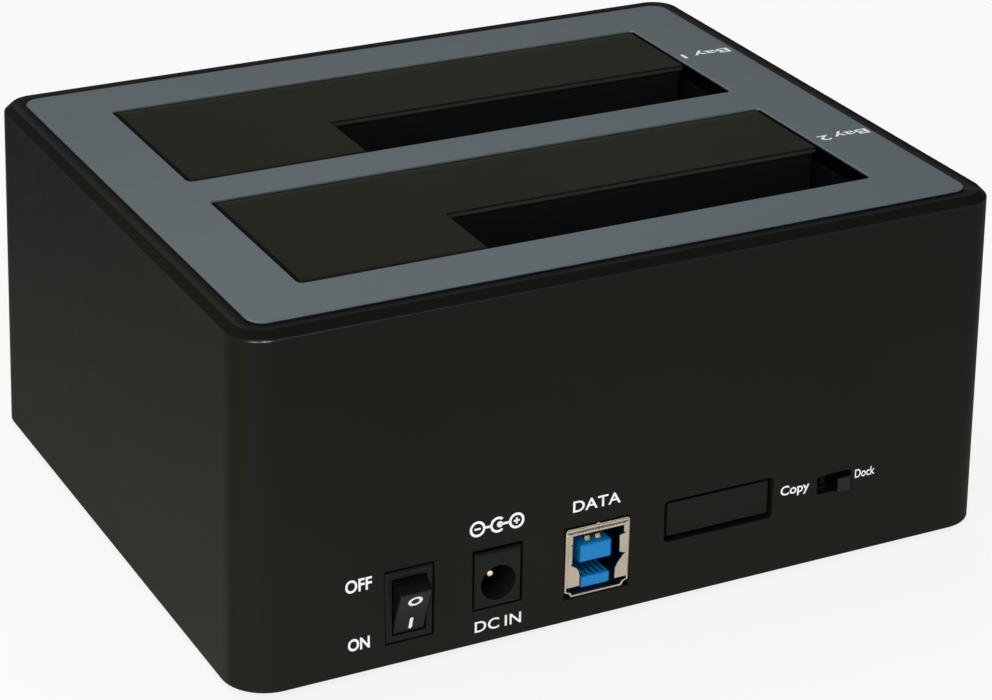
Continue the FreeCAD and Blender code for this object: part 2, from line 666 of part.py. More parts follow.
def port_blank():
    """Blanking plug: a pad that follows the lean of the panel, on a flange behind the wall."""
    x0, x1, z0, z1 = BLANK
    g = BLANK_GAP
    front = [(lean(z0 + g) + BLANK_DEEP, z0 + g), (lean(z1 - g) + BLANK_DEEP, z1 - g),
             (3.0, z1 - g), (3.0, z0 + g)]
    pad = profile_x(front, x0 + g, x1 - g)
    pad = pad.common(round_window(x0 + g, x1 - g, z0 + g, z1 - g, 0, 4, 0.4))
    flange = box(x0 - 1.2, x1 + 1.2, 2.6, 3.8, z0 - 1.2, z1 + 1.2)
    return fuse([pad, flange])


# ---- front panel ---------------------------------------------------------------------
def start_button():
    y_face = D - lean(START_Z) + FRONT_OUT
    cap = rod_y(START_X, 111.2, y_face, START_Z, START_R)
    cap = fillet_edges(cap, 0.5, lambda e: abs(e.BoundBox.YMin - y_face) < 1e-4)
    flange = rod_y(START_X, 111.0, 112.0, START_Z, START_R + 0.9)
    return fuse([cap, flange])


def start_switch_body():
    block = box(START_X - 3.1, START_X + 3.1, FRONT_BOARD_Y + 1.2, 110.0,
                START_Z - 3.1, START_Z + 3.1)
    well = rod_y(START_X, 109.2 - START_TRAVEL - 0.3, 111, START_Z, 1.75 + PIN_RUN)
    return cut(block, [well])


def start_switch_plunger():
    return rod_y(START_X, 109.2, 111.0, START_Z, 1.75)


def front_board():
    board = box(38.0, 102.8, FRONT_BOARD_Y, FRONT_BOARD_Y + 1.2, PCB_TOP, 48.0)
    return board


def front_header():
    block = box(60.4, 80.4, 103.5, 105.8, PCB_TOP, PCB_TOP + 2.5)
    pins = []
    for i in range(8):
        x = 61.9 + 2.4 * i
        pins.append(box(x - 0.3, x + 0.3, 105.7, 106.0, PCB_TOP + 0.9, PCB_TOP + 1.5))
    return fuse([block] + pins)


def light_pipe(xs, bar_z):
    """Round pipes on one cross bar, which stands off the front board on a leg at each end."""
    y_front = D - lean(LED_Z) - 0.1
    pieces = []
    for x in xs:
        pieces.append(rod_y(x, 108.4, y_front, LED_Z, PIPE_R))
        neck0, neck1 = sorted((LED_Z, bar_z + 1.0))
        pieces.append(box(x - 0.9, x + 0.9, 108.4, 109.8, neck0, neck1))
    pieces.append(box(xs[0] - 3.0, xs[-1] + 3.0, 108.4, 109.8, bar_z, bar_z + 2.0))
    for x in (xs[0] - 3.0, xs[-1] + 1.6):
        pieces.append(box(x, x + 1.4, FRONT_BOARD_Y + 1.2, 108.6, bar_z, bar_z + 2.0))
    return fuse(pieces)


def status_leds():
    chips = []
    for x in PROGRESS_X + ACTIVITY_X:
        chips.append(box(x - 0.8, x + 0.8, FRONT_BOARD_Y + 1.2, FRONT_BOARD_Y + 1.9,
                         LED_Z - 0.5, LED_Z + 0.5))
    return Part.makeCompound(chips)


# ---- board components ------------------------------------------------------------------
def bridge_chips():
    chips = []
    for x, y in ((50.0, 40.0), (50.0, 82.0)):
        body = box(x - 5.0, x + 5.0, y - 5.0, y + 5.0, PCB_TOP + 0.2, PCB_TOP + 1.6)
        feet = box(x - 5.8, x + 5.8, y - 4.4, y + 4.4, PCB_TOP, PCB_TOP + 0.3)
        chips.append(body.fuse(feet).removeSplitter())
    return Part.makeCompound(chips)


def power_inductors():
    coils = []
    for x, y in ((30.0, 34.0), (30.0, 48.0)):
        coils.append(round_prism(x - 4.0, x + 4.0, y - 4.0, y + 4.0, PCB_TOP, PCB_TOP + 4.2, 1.5))
    return Part.makeCompound(coils)


def filter_capacitors():
    cans = []
    for x, y in ((42.0, 26.0), (52.0, 26.0), (30.0, 62.0), (30.0, 72.0)):
        can = cyl(x, y, PCB_TOP, 3.15, 7.7)
        cans.append(fillet_edges(can, 0.4, flat_at(PCB_TOP + 7.7)))
    return Part.makeCompound(cans)


def clock_crystal():
    can = round_prism(62.0, 73.0, 49.0, 53.6, PCB_TOP, PCB_TOP + 3.4, 2.25)
    return fillet_edges(can, 0.3, flat_at(PCB_TOP + 3.4))


# ---- assembly --------------------------------------------------------------------------
def place(shape):
    """Half a turn about Z, then to the bottom centre of the whole part."""
    out = shape.copy()
    out.rotate(V(0, 0, 0), V(0, 0, 1), 180)
    y_mid = (D - REAR_OUT) / 2
    out.translate(V(W / 2, y_mid, FOOT_H))
    return out


NODES = {
    "housing": housing,
    "top_plate": top_plate,
    "base_cover": base_cover,
    "base_screws": base_screws,
    "rubber_feet": rubber_feet,
    "target_bay_well": lambda: bay_well(TARGET_Y),
    "source_bay_well": lambda: bay_well(SOURCE_Y),
    "target_flap": lambda: flap(TARGET_Y),
    "source_flap": lambda: flap(SOURCE_Y),
    "target_hinge_pin": lambda: hinge_pin(TARGET_Y),
    "source_hinge_pin": lambda: hinge_pin(SOURCE_Y),
    "target_flap_spring": lambda: flap_spring(TARGET_Y),
    "source_flap_spring": lambda: flap_spring(SOURCE_Y),
    "main_board": main_board,
    "board_screws": board_screws,
    "target_sata_socket": lambda: sata_socket(TARGET_Y),
    "source_sata_socket": lambda: sata_socket(SOURCE_Y),
    "target_sata_contacts": lambda: sata_contacts(TARGET_Y),
    "source_sata_contacts": lambda: sata_contacts(SOURCE_Y),
    "dc_jack_body": dc_jack_body,
    "dc_jack_pin": dc_jack_pin,
    "dc_jack_contact": dc_jack_contact,
    "usb_shell": usb_shell,
    "usb_insulator": usb_insulator,
    "usb_contacts": usb_contacts,
    "rocker_frame": rocker_frame,
    "rocker": rocker,
    "rocker_terminals": rocker_terminals,
    "slide_switch_can": slide_switch_can,
    "slide_switch_base": slide_switch_base,
    "slide_knob": slide_knob,
    "riser_board": riser_board,
    "riser_header": riser_header,
    "port_blank": port_blank,
    "start_button": start_button,
    "start_switch_body": start_switch_body,
    "start_switch_plunger": start_switch_plunger,
    "front_board": front_board,
    "front_header": front_header,
    "progress_light_pipe": lambda: light_pipe(PROGRESS_X, LED_Z + 0.6),
    "activity_light_pipe": lambda: light_pipe(ACTIVITY_X, LED_Z - 3.6),
    "status_leds": status_leds,
    "bridge_chips": bridge_chips,
    "power_inductors": power_inductors,
    "filter_capacitors": filter_capacitors,
    "clock_crystal": clock_crystal,
}


def main():
    os.makedirs("parts", exist_ok=True)
    total = None
    for name, build in NODES.items():
        shape = place(build())
        shape.exportStep("parts/" + name + ".step")
        b = shape.BoundBox
        print("%-22s solids %d valid %s vol %.1f  x %.2f %.2f y %.2f %.2f z %.2f %.2f" % (
            name, len(shape.Solids), shape.isValid(), shape.Volume,
            b.XMin, b.XMax, b.YMin, b.YMax, b.ZMin, b.ZMax))
        total = b if total is None else total.united(b)
    print("all x %.3f %.3f y %.3f %.3f z %.3f %.3f" % (
        total.XMin, total.XMax, total.YMin, total.YMax, total.ZMin, total.ZMax))


main()
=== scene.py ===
import functools
import json
import math

import bmesh
import bpy
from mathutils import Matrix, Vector
from mathutils.bvhtree import BVHTree


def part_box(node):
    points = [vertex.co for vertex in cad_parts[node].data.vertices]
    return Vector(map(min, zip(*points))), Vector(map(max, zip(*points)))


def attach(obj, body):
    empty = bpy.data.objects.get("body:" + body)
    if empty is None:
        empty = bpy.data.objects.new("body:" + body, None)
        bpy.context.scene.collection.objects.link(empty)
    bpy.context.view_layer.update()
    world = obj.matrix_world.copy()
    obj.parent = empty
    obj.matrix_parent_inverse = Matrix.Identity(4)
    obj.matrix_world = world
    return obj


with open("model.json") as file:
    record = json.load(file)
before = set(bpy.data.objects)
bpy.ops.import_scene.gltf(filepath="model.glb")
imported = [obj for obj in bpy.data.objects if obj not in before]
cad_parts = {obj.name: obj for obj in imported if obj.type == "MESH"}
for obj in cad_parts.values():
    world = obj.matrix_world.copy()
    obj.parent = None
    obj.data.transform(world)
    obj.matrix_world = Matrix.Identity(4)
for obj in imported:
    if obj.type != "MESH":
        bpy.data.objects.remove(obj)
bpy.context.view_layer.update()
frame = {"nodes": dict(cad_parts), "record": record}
NODES = frame["nodes"]

MM = 0.001
X, Y, Z = 0, 1, 2

# Places are given in the working frame of the CAD source, in mm: x along the rear panel from its
# left end as seen from behind, y in from the rear panel, z up from the underside of the case.
CASE_LOW, CASE_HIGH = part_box("housing")
CASE_W = (CASE_HIGH.x - CASE_LOW.x) / MM
CASE_D = (CASE_HIGH.y - CASE_LOW.y) / MM
CASE_H = (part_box("top_plate")[1].z - CASE_LOW.z) / MM   # up to the face of the plate

DRAFT = 1.7                     # inward lean of each wall over the full height
EDGE_DROP = 1.42                # the walls turn into the rim this far below the plate's face
LEDGE_IN = 4.85                 # the ledge inside the rim ends this far in from the case's outline
LEDGE_DROP = 0.55               # all of the ledge is higher than this far below the plate's face
BAY_X0, BAY_X1 = 17.9, 122.9
BAY_LEN = 36.4                  # along y
BAY_YS = (16.4, 62.0)           # rear edge of each bay
SLOT_X, SLOT_LEN = 51.1, 16.7   # each flap leaves a slot open, from SLOT_X to BAY_X1 and along y
ROCKER_AXIS = (29.2, 1.0, 10.2)
ROCKER_TILT = 19.4              # degrees
JACK_X = 45.0
USB_X, USB_TOP = 63.25, 16.8


def at(x, y, z):
    """A point of the working frame, in mm, as a point of the row frame, in metres."""
    return Vector((CASE_HIGH.x - x * MM, CASE_HIGH.y - y * MM, CASE_LOW.z + z * MM))


# ---- node trees ---------------------------------------------------------------------
WHITE = (1.0, 1.0, 1.0)


class Nodes:
    """The node tree of a material or a world, with short names for what is made in it."""

    def __init__(self, owner, output):
        owner.use_nodes = True
        self.tree = owner.node_tree
        self.tree.nodes.clear()
        self.out = self.tree.nodes.new(output)

    def feed(self, socket, value):
        """Links another socket to this one, or sets its own number or colour."""
        if isinstance(value, bpy.types.NodeSocket):
            self.tree.links.new(value, socket)
        elif socket.type == "RGBA":
            socket.default_value = (*value, 1.0)
        else:
            socket.default_value = value

    def node(self, kind, **values):
        """A new node; each value goes to the input of that name, or else to the setting."""
        node = self.tree.nodes.new(kind)
        for key, value in values.items():
            if key in node.inputs:
                self.feed(node.inputs[key], value)
            else:
                setattr(node, key, value)
        return node

    def finish(self, shader):
        self.feed(self.out.inputs["Surface"], shader.outputs[0])

    def finish_mixed(self, factor, first, second):
        """Ends in the first shader where the factor is 0, and in the second where it is 1."""
        mixed = self.node("ShaderNodeMixShader")
        for socket, value in zip(mixed.inputs, (factor, first.outputs[0], second.outputs[0])):
            self.feed(socket, value)
        self.finish(mixed)

    def math(self, operation, *values):
        node = self.node("ShaderNodeMath", operation=operation)
        for socket, value in zip(node.inputs, values):
            self.feed(socket, value)
        return node.outputs[0]

    def chain(self, operation, values):
        total = values[0]
        for value in values[1:]:
            total = self.math(operation, total, value)
        return total

    def times(self, *values):
        return self.chain("MULTIPLY", values)

    def plus(self, *values):
        return self.chain("ADD", values)

    def minus(self, a, b):
        return self.math("SUBTRACT", a, b)

    def highest(self, *values):
        return self.chain("MAXIMUM", values)

    def absolute(self, value):
        return self.math("ABSOLUTE", value)

    def above(self, value, limit):
        """1 above the limit, and 0 below it."""
        return self.math("GREATER_THAN", value, limit)

    def below(self, value, limit):
        """1 below the limit, and 0 above it."""
        return self.math("LESS_THAN", value, limit)

    def between(self, value, low, high):
        return self.times(self.above(value, low), self.below(value, high))


class Finish(Nodes):
    """A material that reads the object's own place and normal, so that it moves with its body."""

    made = {}

    def __init__(self, name):
        self.mat = self.made[name] = bpy.data.materials.new(name)
        super().__init__(self.mat, "ShaderNodeOutputMaterial")
        own = self.node("ShaderNodeTexCoord").outputs
        self.coord = own["Object"]
        self.normal = own["Normal"]

    def place(self, axis):
        """Where the surface is along an axis of the row frame at rest, in metres."""
        return self.node("ShaderNodeSeparateXYZ", Vector=self.coord).outputs[axis]

    def facing(self, axis):
        """How far the surface faces along an axis of the row frame at rest, -1 to 1."""
        return self.node("ShaderNodeSeparateXYZ", Vector=self.normal).outputs[axis]

    def noise(self, scale, detail=2.0, rough=0.5, coord=None):
        return self.node("ShaderNodeTexNoise", Vector=coord or self.coord, Scale=scale,
                         Detail=detail, Roughness=rough).outputs["Fac"]

    def brushed(self, scale):
        """Noise that is drawn out into streaks by its three scales."""
        drawn = self.node("ShaderNodeMapping", Vector=self.coord, Scale=scale).outputs["Vector"]
        return self.noise(scale=8.0, detail=3.0, rough=0.6, coord=drawn)

    def ramp(self, value, to, over=(0.3, 0.7)):
        """Turns one range of a value into another and holds its ends; the default spans noise."""
        node = self.node("ShaderNodeMapRange", Value=value)
        for name, number in zip(("From Min", "From Max", "To Min", "To Max"), (*over, *to)):
            node.inputs[name].default_value = number
        return node.outputs["Result"]

    def rise(self, value, start, end):
        """0 up to the start, and 1 from the end on."""
        return self.ramp(value, to=(0.0, 1.0), over=(start, end))

    def fall(self, value, start, end):
        """1 up to the start, and 0 from the end on."""
        return self.ramp(value, to=(1.0, 0.0), over=(start, end))

    def mix(self, factor, a, b, blend="MIX"):
        node = self.node("ShaderNodeMix", data_type="RGBA", blend_type=blend)
        for key, value in (("Factor", factor), ("A", a), ("B", b)):
            self.feed(next(s for s in node.inputs if s.name == key and s.enabled), value)
        return next(s for s in node.outputs if s.name == "Result" and s.enabled)

    def tinted(self, a, b):
        """Two colours or factors multiplied."""
        return self.mix(1.0, a, b, "MULTIPLY")

    def edges(self, radius):
        """A mask of the edges, as wide as the radius, and the normal that rounds them."""
        soft = self.node("ShaderNodeBevel", samples=4, Radius=radius).outputs["Normal"]
        hard = self.node("ShaderNodeNewGeometry").outputs["Normal"]
        dot = self.node("ShaderNodeVectorMath", operation="DOT_PRODUCT")
        for socket, normal in zip(dot.inputs, (soft, hard)):
            self.feed(socket, normal)
        return self.fall(dot.outputs["Value"], 0.80, 0.995), soft

    def within(self, x0, x1, y0, y1, z0, z1):
        """1 inside a box of the working frame, in mm, and 0 outside it."""
        a, b = at(x0, y0, z0), at(x1, y1, z1)
        return self.times(*(self.between(self.place(axis), min(a[axis], b[axis]), max(a[axis], b[axis]))
                            for axis in (X, Y, Z)))

    def bump(self, height, strength, distance, **normal):
        bump = self.node("ShaderNodeBump", Height=height, Strength=strength, Distance=distance, **normal)
        return bump.outputs["Normal"]

    def principled(self, **values):
        """Ends in the principled shader, with its inputs given by name."""
        shader = self.node("ShaderNodeBsdfPrincipled")
        for key, value in values.items():
            self.feed(shader.inputs[key.replace("_", " ")], value)
        self.finish(shader)


# ---- kinds of finish ----------------------------------------------------------------
def scaled(colour, factor, lift=0.0):
    return tuple(min(1.0, c * factor + lift) for c in colour)


def moulded(name, colour, rough, spec, grain=2600.0, grain_depth=0.02 * MM, drift=0.05, worn=None,
            edge_gloss=0.08, light_and_shade=None, painted_patch=None, painted_patch_colour=(0.0012, 0.0014, 0.0018), polish=None):
    """Moulded plastic: slow colour drift, a fine spark-eroded grain and rubbed, shinier edges.

    An optional function gives a factor on the colour, which paints light and shade; an optional mask
    marks where the colour is replaced, mostly with painted shade and on the flaps' lips with painted
    light; polish(t) a mask of what is worn glossy.
    """
    t = Finish(name)
    blot = t.noise(scale=260.0, detail=4.0)
    deep, light = scaled(colour, 1 - drift), scaled(colour, 1 + drift)
    base = t.mix(t.ramp(t.noise(scale=35.0, detail=3.0), to=(0.0, 1.0)), deep, light)
    base = t.mix(t.ramp(blot, to=(0.0, 0.25)), base, light)
    if light_and_shade:
        base = t.tinted(base, light_and_shade(t))
    edge_mask, soft = t.edges(0.25 * MM)
    rubbed = t.times(edge_mask, t.rise(t.noise(scale=420.0, detail=3.0), 0.15, 0.7))
    base = t.mix(rubbed, base, worn or scaled(colour, 1.7, 0.004))
    if painted_patch:
        base = t.mix(painted_patch(t), base, painted_patch_colour)
    roughness = t.plus(t.ramp(blot, to=(rough - 0.02, rough + 0.02)), t.times(edge_mask, -edge_gloss))
    fine = t.noise(scale=grain, detail=2.0, rough=0.6)
    coat = {}
    if polish:
        coat = dict(Coat_Weight=polish(t), Coat_Roughness=0.17, Coat_IOR=2.3, Coat_Normal=soft)
    t.principled(Base_Color=base, Roughness=roughness, Specular_IOR_Level=spec,
                 Normal=t.bump(fine, 0.35, grain_depth, Normal=soft), **coat)


def metal(name, colour, rough=0.3, brush=(300.0, 300.0, 300.0), painted_patch=None, painted_patch_colour=None):
    """Plated or drawn metal with brushing, slow stains and brighter edges; an optional mask paints shade
    in hollows and a seam.
    """
    t = Finish(name)
    streak = t.brushed(brush)
    base = t.mix(t.ramp(t.noise(scale=180.0, detail=3.0), to=(0.0, 0.8)), colour, scaled(colour, 0.8))
    edge_mask, soft = t.edges(0.1 * MM)
    base = t.mix(t.times(edge_mask, 0.4), base, scaled(colour, 1.1))
    if painted_patch:
        base = t.mix(painted_patch(t), base, painted_patch_colour or scaled(colour, 0.06))
    t.principled(Base_Color=base, Metallic=1.0, Roughness=t.ramp(streak, to=(rough - 0.06, rough + 0.08)),
                 Normal=t.bump(streak, 0.3, 0.006 * MM, Normal=soft))


def ink(name, colour, rough=0.5):
    """Printed ink, a little uneven."""
    t = Finish(name)
    patch = t.noise(scale=3500.0, detail=3.0)
    t.principled(Base_Color=t.mix(t.ramp(patch, to=(0.0, 0.5)), colour, scaled(colour, 0.86)),
                 Roughness=t.ramp(patch, to=(rough - 0.05, rough + 0.08)),
                 Normal=t.bump(patch, 0.2, 0.01 * MM))


def frosted(name, colour, pale):
    """Clear plastic, clouded by frosting."""
    t = Finish(name)
    cloud = t.noise(scale=900.0, detail=3.0)
    t.principled(Base_Color=t.mix(t.ramp(cloud, to=(0.0, 1.0)), colour, pale),
                 Roughness=t.ramp(cloud, to=(0.35, 0.5)), Transmission_Weight=0.6, IOR=1.49,
                 Normal=t.bump(cloud, 0.2, 0.02 * MM))


# ---- painted light and shade: masks, and factors on a colour ----------------------------
def bay_mouth_shade(t):
    """Where painted shade goes: the cut edges of the deck inside the two bays, all but those that look to
    the rear.
    """
    over, over_front = 0.7, 0.1
    low, plate_foot = 50.0, CASE_H - 0.48
    mouths = [t.within(BAY_X0 - over, BAY_X1 + over, y - over, y + BAY_LEN + over_front, low, plate_foot)
              for y in BAY_YS]
    return t.times(t.highest(*mouths), t.below(t.facing(Y), 0.5))


def case_recess_shade(t):
    """Painted shade on the bays' cut edges and, more faintly, in the openings of the port panel
    behind its skin.
    """
    openings = t.within(24.0, 114.0, 0.66, 3.5, 3.0, 18.0)
    return t.highest(bay_mouth_shade(t), t.times(openings, 0.6))


def rim_edges(t):
    """Where the walls turn into the rim: rubbed shiny, most of all at one corner."""
    corner = t.rise(t.times(t.facing(X), t.facing(Y)), 0.05, 0.22)
    rubbed = t.highest(t.times(corner, t.rise(t.facing(Y), 0.70, 0.84)), 0.07)
    from_edge = t.absolute(t.minus(t.place(Z), at(0, 0, CASE_H - EDGE_DROP).z))
    return t.times(t.fall(from_edge, 0.0, 0.25 * MM), rubbed)


def ledge_light_and_shade(t):
    """Painted shade on the rim's ledge, deepest in the groove round the plate.

    Painted light makes one end of the ledge paler at its crest; at the far end it is painted paler
    against the plate and darker at its crest.
    """
    middle_y = (CASE_LOW.y + CASE_HIGH.y) / 2
    past_x = t.minus(t.absolute(t.place(X)), (CASE_W / 2 - LEDGE_IN) * MM)
    past_y = t.minus(t.absolute(t.minus(t.place(Y), middle_y)), (CASE_D / 2 - LEDGE_IN) * MM)
    out = t.highest(past_x, past_y)
    at_ends = t.above(past_x, past_y)
    lit_end = t.times(at_ends, t.above(t.place(X), 0.0))
    far_end = t.times(at_ends, t.below(t.place(X), 0.0))
    # Painted shade in the groove; painted light on the crest at one end, and at the far end painted light
    # against the plate and painted shade at the crest.
    painted_shade = t.ramp(out, to=(0.66, 0.94), over=(-0.1 * MM, 1.3 * MM))
    rubbed = t.times(lit_end, t.ramp(out, to=(0.0, 0.85), over=(0.2 * MM, 1.2 * MM)))
    far_light_and_shade = t.times(far_end, t.ramp(out, to=(1.30, -0.80), over=(-0.1 * MM, 1.5 * MM)))
    on_ledge = t.times(t.above(t.facing(Z), 0.93), t.above(t.place(Z), at(0, 0, CASE_H - LEDGE_DROP).z))
    return t.minus(1.0, t.times(on_ledge, t.minus(1.0, t.plus(painted_shade, rubbed, far_light_and_shade))))


def wall_light_and_shade(t):
    """Painted light and shade on the walls: paler towards the foot, most of all on one side, which is
    also painted paler towards the rear and in a warmer colour; a painted sheen on the rounded corners;
    painted shade on the rim's slopes.
    """
    foot_to_top = (4.0 * MM, 58.0 * MM)
    front_to_rear = (-50.0 * MM, 50.0 * MM)
    side = t.above(t.facing(X), 0.6)
    slope = t.between(t.facing(Z), 0.35, 0.93)
    corner = t.times(t.facing(X), t.facing(Y))
    # Painted light: paler towards the foot, and on one side wall also towards the rear.
    low = t.ramp(t.place(Z), to=(1.18, 0.84), over=foot_to_top)
    sheen = t.ramp(corner, to=(0.0, 0.14), over=(0.30, 0.45))
    light_falloff = t.plus(t.ramp(t.place(Z), to=(0.74, -0.22), over=foot_to_top),
                     t.ramp(t.place(Y), to=(-0.56, 0.52), over=front_to_rear))
    light_falloff = t.times(t.minus(side, t.times(side, slope)), light_falloff, t.fall(corner, 0.14, 0.34))
    shade = t.times(slope, t.ramp(side, to=(0.34, 0.20), over=(0.0, 1.0)))
    light_and_shade = t.minus(t.plus(low, sheen, light_falloff), shade)
    return t.tinted(t.times(light_and_shade, ledge_light_and_shade(t)), t.mix(side, WHITE, (1.02, 1.05, 0.80)))


def plate_light_and_shade(t):
    """Painted shade: the plate is a little deeper in colour towards the front."""
    return t.ramp(t.place(Y), to=(0.83, 1.0), over=(-50.0 * MM, 35.0 * MM))


def plate_bevel(t):
    """The sloping edge of the plate, worn a little glossy."""
    return t.times(t.between(t.facing(Z), 0.3, 0.97), 0.35)


def plate_sides(t):
    """The plate's cut edge is deep in colour, with painted light at the front of each bay."""
    sides = t.below(t.facing(Z), 0.3)
    front_ends = t.within(BAY_X0 - 1.0, BAY_X1 + 1.0, BAY_YS[0] + BAY_LEN - 2.0, 110.0, 55.0, 63.0)
    lit = t.times(t.above(t.facing(Y), 0.5), front_ends)
    return t.minus(sides, t.times(lit, 0.60))


def flap_lip_light(t):
    """Painted light on the edge of each flap below its seam, along the small-drive slot."""
    before, beyond = 0.7, 0.5
    low, high = CASE_H - 1.36, CASE_H - 0.84
    lips = [t.within(SLOT_X - 0.1, BAY_X1, y + SLOT_LEN - before, y + SLOT_LEN + beyond, low, high)
            for y in BAY_YS]
    return t.times(t.highest(*lips), t.above(t.facing(Y), 0.5))


def flap_seam_shade_and_highlight(t):
    """Painted shade: a black seam between flap and plate at one end and a fainter one along the rear
    edge; a painted highlight along the front edge."""
    from_end = t.minus(at(BAY_X0, 0, 0).x, t.place(X))
    light_and_shade = t.ramp(from_end, to=(0.03, 1.0), over=(0.85 * MM, 1.15 * MM))
    for y in BAY_YS:
        from_rear = t.absolute(t.minus(at(0, y, 0).y, t.place(Y)))
        light_and_shade = t.math("MINIMUM", light_and_shade, t.ramp(from_rear, to=(0.35, 1.0), over=(1.4 * MM, 1.9 * MM)))
    for y in BAY_YS:
        from_front = t.absolute(t.minus(at(0, y + BAY_LEN, 0).y, t.place(Y)))
        light_and_shade = t.times(light_and_shade, t.ramp(from_front, to=(1.55, 1.0), over=(0.8 * MM, 2.2 * MM)))
    return light_and_shade


def flap_light_and_shade(t):
    """Painted light and shade along the flaps: paler towards one end, darker and warmer towards the
    other; the drive guides that hang under them get painted shade with a cool tint.
    """
    guides = t.above(t.absolute(t.facing(Y)), 0.5)
    light_falloff = t.rise(t.place(X), -20.0 * MM, 50.0 * MM)
    face = t.mix(light_falloff, (1.07, 1.07, 1.07), (0.91, 0.91, 0.86))
    return t.mix(guides, t.tinted(face, flap_seam_shade_and_highlight(t)), (0.68, 0.72, 1.06))


def rocker_light_and_shade(t):
    """Painted shade on the rocker's faces that look up, so that its upper face is darker than the one
    that is pressed.
    """
    return t.ramp(t.facing(Z), to=(1.0, 0.45), over=(0.1, 0.3))


def knob_side_shade(t):
    """Painted shade on all of the knob but its outer face."""
    return t.below(t.facing(Y), 0.6)


def bore_shade(t):
    """Painted shade in the inlet's bore from 3.6 mm in."""
    return t.below(t.place(Y), at(0, 3.6, 0).y)


def shell_painted_shade(t):
    """Painted shade, tinted blue, in the groove between the two rolled rails and inside the shell; the
    seam across the rails takes the same colour.
    """
    return t.highest(
        t.within(USB_X - 5.5, USB_X + 5.5, -1.0, 1.0, USB_TOP - 0.78, USB_TOP - 0.70),
        t.within(USB_X + 0.06, USB_X + 0.18, -1.0, 1.0, USB_TOP - 1.5, USB_TOP + 0.02),
        t.within(USB_X - 6.5, USB_X + 6.5, 0.9, 20.0, 3.0, 20.0))


def tongue_light_and_shade(t):
    """Painted light: the insulator's sides are painted a paler blue than its end."""
    return t.mix(t.fall(t.facing(Y), 0.2, 0.8), WHITE, (1.6, 1.35, 1.35))


def socket_depth_shade(t):
    """Painted shade in the data socket from 8.5 mm in from its mouth."""
    return t.below(t.place(Y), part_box("usb_shell")[1][1] - 8.5 * MM)


# ---- the finish of each material slot ---------------------------------------------------
BLACK = (0.0106, 0.0107, 0.0087)
FINE = dict(grain=4000.0, grain_depth=0.01 * MM)

moulded("case_black", BLACK, rough=0.60, spec=0.03, edge_gloss=0.2, light_and_shade=wall_light_and_shade,
        painted_patch=case_recess_shade, polish=rim_edges)
# The paler colour of the flaps' lips is painted light.
moulded("flap_black", (0.0156, 0.0167, 0.0106), rough=0.60, spec=0.02, edge_gloss=0.2, light_and_shade=flap_light_and_shade,
        painted_patch=flap_lip_light, painted_patch_colour=(0.034, 0.035, 0.028))
moulded("plate_grey", (0.0750, 0.1020, 0.1135), rough=0.45, spec=0.25, grain=5200.0,
        grain_depth=0.01 * MM, drift=0.03, worn=(0.17, 0.18, 0.19), edge_gloss=0.15, light_and_shade=plate_light_and_shade,
        painted_patch=plate_sides, painted_patch_colour=(0.008, 0.012, 0.015), polish=plate_bevel)
moulded("well_black", (0.0060, 0.0065, 0.0065), rough=0.60, spec=0.05)
moulded("cover_black", BLACK, rough=0.60, spec=0.08)
moulded("blank_black", BLACK, rough=0.58, spec=0.05, edge_gloss=0.2)
moulded("rocker_black", (0.0060, 0.0061, 0.0057), rough=0.36, spec=0.12, light_and_shade=rocker_light_and_shade, **FINE)
moulded("bezel_black", (0.0090, 0.0093, 0.0082), rough=0.42, spec=0.08, **FINE)
moulded("jack_black", (0.0079, 0.0090, 0.0083), rough=0.42, spec=0.08, **FINE)
moulded("knob_grey", (0.0118, 0.0122, 0.0117), rough=0.40, spec=0.12, painted_patch=knob_side_shade, **FINE)
moulded("insulator_blue", (0.0025, 0.18, 0.48), rough=0.34, spec=0.3, worn=(0.015, 0.27, 0.60),
        light_and_shade=tongue_light_and_shade, painted_patch=socket_depth_shade, painted_patch_colour=(0.003, 0.018, 0.040), **FINE)
moulded("button_black", (0.012, 0.012, 0.012), rough=0.30, spec=0.4)
moulded("socket_black", (0.010, 0.010, 0.010), rough=0.40, spec=0.4)
moulded("switch_base", (0.012, 0.012, 0.012), rough=0.40, spec=0.4)
moulded("chip_black", (0.012, 0.012, 0.012), rough=0.50, spec=0.4)
moulded("inductor_grey", (0.03, 0.03, 0.03), rough=0.70, spec=0.3)
moulded("foot_rubber", (0.018, 0.018, 0.018), rough=0.80, spec=0.2)
moulded("board_green", (0.01, 0.09, 0.04), rough=0.35, spec=0.5)
moulded("led_white", (0.80, 0.75, 0.45), rough=0.30, spec=0.5)

# The shell's painted shade is tinted blue.
metal("shell_nickel", (0.55, 0.47, 0.37), rough=0.28, painted_patch=shell_painted_shade, painted_patch_colour=(0.08, 0.19, 0.30))
metal("jack_brass", (0.86, 0.72, 0.42), rough=0.20, painted_patch=bore_shade)
metal("contact_gold", (0.97, 0.74, 0.40), rough=0.24)
metal("pin_steel", (0.62, 0.62, 0.62), rough=0.25, brush=(20.0, 600.0, 600.0))
metal("spring_steel", (0.50, 0.50, 0.50), rough=0.25)
metal("board_screw_steel", (0.62, 0.62, 0.62))
metal("screw_black", (0.06, 0.06, 0.06), rough=0.40)
metal("switch_can", (0.70, 0.70, 0.68))
metal("capacitor_can", (0.75, 0.75, 0.77))
metal("crystal_can", (0.75, 0.75, 0.75))

ink("print_white", (0.82, 0.83, 0.82))
frosted("pipe_clear", (0.62, 0.66, 0.70), pale=(0.75, 0.78, 0.80))

for entry in frame["record"]["subparts"]:
    slots = NODES[entry["node"]].data.materials
    slots.clear()
    slots.append(Finish.made[entry["material_slot"]])


# ---- printed words and signs ------------------------------------------------------------
PRINT_T = 0.025 * MM        # a print stands this far proud of its surface
RAY_START = 20.0 * MM       # rays towards the surface start this far out

